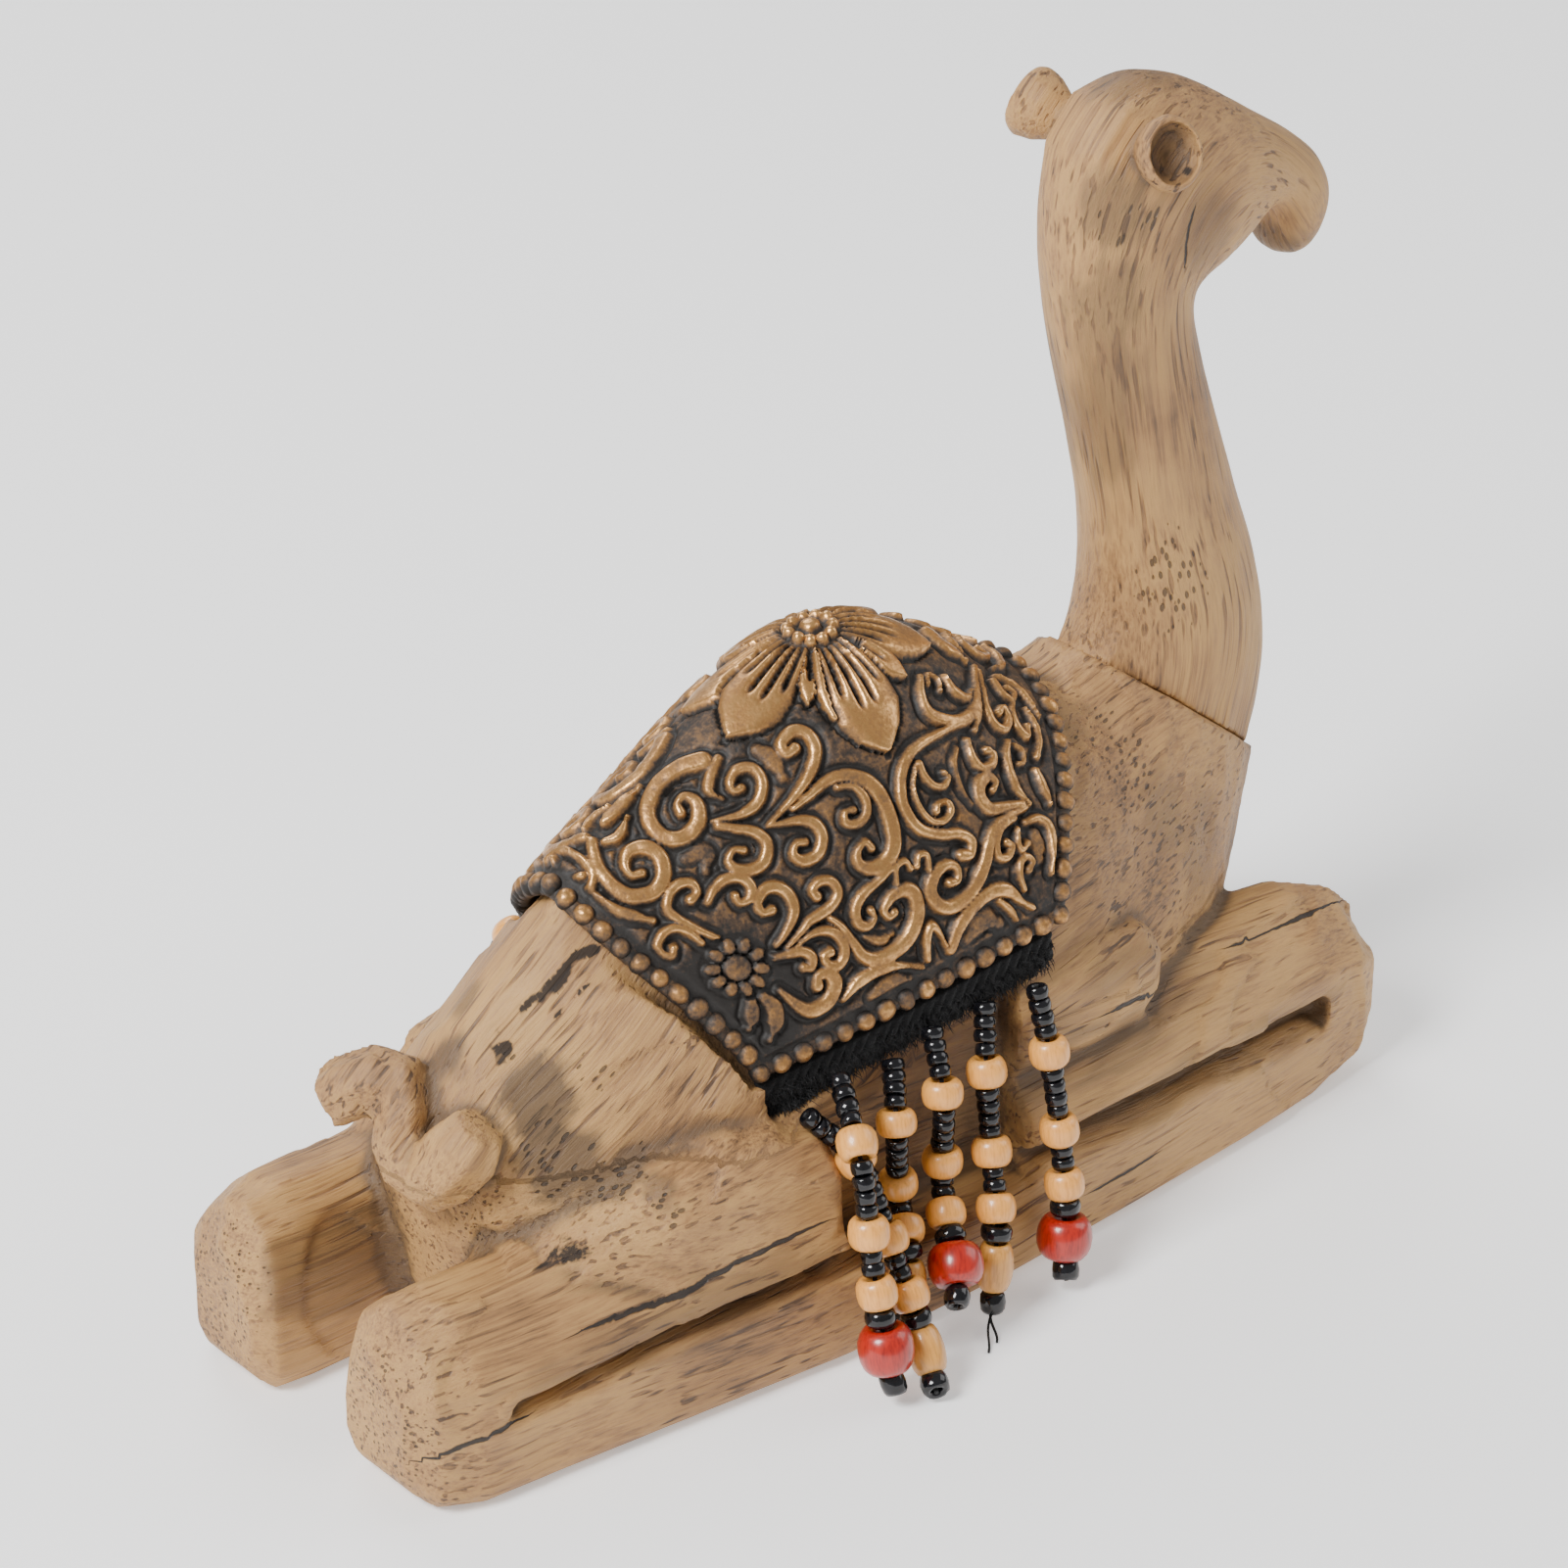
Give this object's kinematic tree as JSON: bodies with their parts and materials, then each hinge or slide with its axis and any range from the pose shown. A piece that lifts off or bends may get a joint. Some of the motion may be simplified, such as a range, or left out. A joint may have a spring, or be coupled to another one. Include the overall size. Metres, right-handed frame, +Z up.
{
  "type": "camel statue",
  "caption": "Lying camel statue in driftwood-look resin with a scrolled bronze-look saddle blanket and beaded tassels on both sides.",
  "frame": {"origin": "middle of the underside, at the centre of the whole part's length and width", "axes": "+X the way the camel faces, +Y its left side, +Z up"},
  "size_m": [0.2424, 0.133, 0.2045],
  "materials": {
    "wood_look_resin": "cast resin painted as weathered carved wood, matte",
    "bronze_look_resin": "cast resin, raised parts rubbed warm bronze over near-black hollows, satin",
    "black_braid": "fuzzy black braid, matte",
    "black_glass_beads": "opaque glossy black beads, with pale lacquered wood beads between them on the same thread",
    "red_wood_bead": "brick red lacquer over turned wood, glossy",
    "honey_wood_bead": "clear lacquer over honey wood, satin"
  },
  "bodies": {
    "root": {"camel_body": "wood_look_resin", "neck_and_head": "wood_look_resin", "saddle_blanket": "bronze_look_resin", "fringe_tape_right": "black_braid", "fringe_tape_left": "black_braid", "bead_strand_right_1": "black_glass_beads", "accent_bead_right_1": "honey_wood_bead", "bead_strand_right_2": "black_glass_beads", "accent_bead_right_2": "red_wood_bead", "bead_strand_right_3": "black_glass_beads", "accent_bead_right_3": "honey_wood_bead", "bead_strand_right_4": "black_glass_beads", "accent_bead_right_4": "red_wood_bead", "bead_strand_right_5": "black_glass_beads", "accent_bead_right_5": "honey_wood_bead", "bead_strand_right_6": "black_glass_beads", "accent_bead_right_6": "red_wood_bead", "bead_strand_left_1": "black_glass_beads", "accent_bead_left_1": "honey_wood_bead", "bead_strand_left_2": "black_glass_beads", "accent_bead_left_2": "red_wood_bead", "bead_strand_left_3": "black_glass_beads", "accent_bead_left_3": "honey_wood_bead", "bead_strand_left_4": "black_glass_beads", "accent_bead_left_4": "red_wood_bead", "bead_strand_left_5": "black_glass_beads", "accent_bead_left_5": "honey_wood_bead", "bead_strand_left_6": "black_glass_beads", "accent_bead_left_6": "red_wood_bead"}
  },
  "joints": []
}
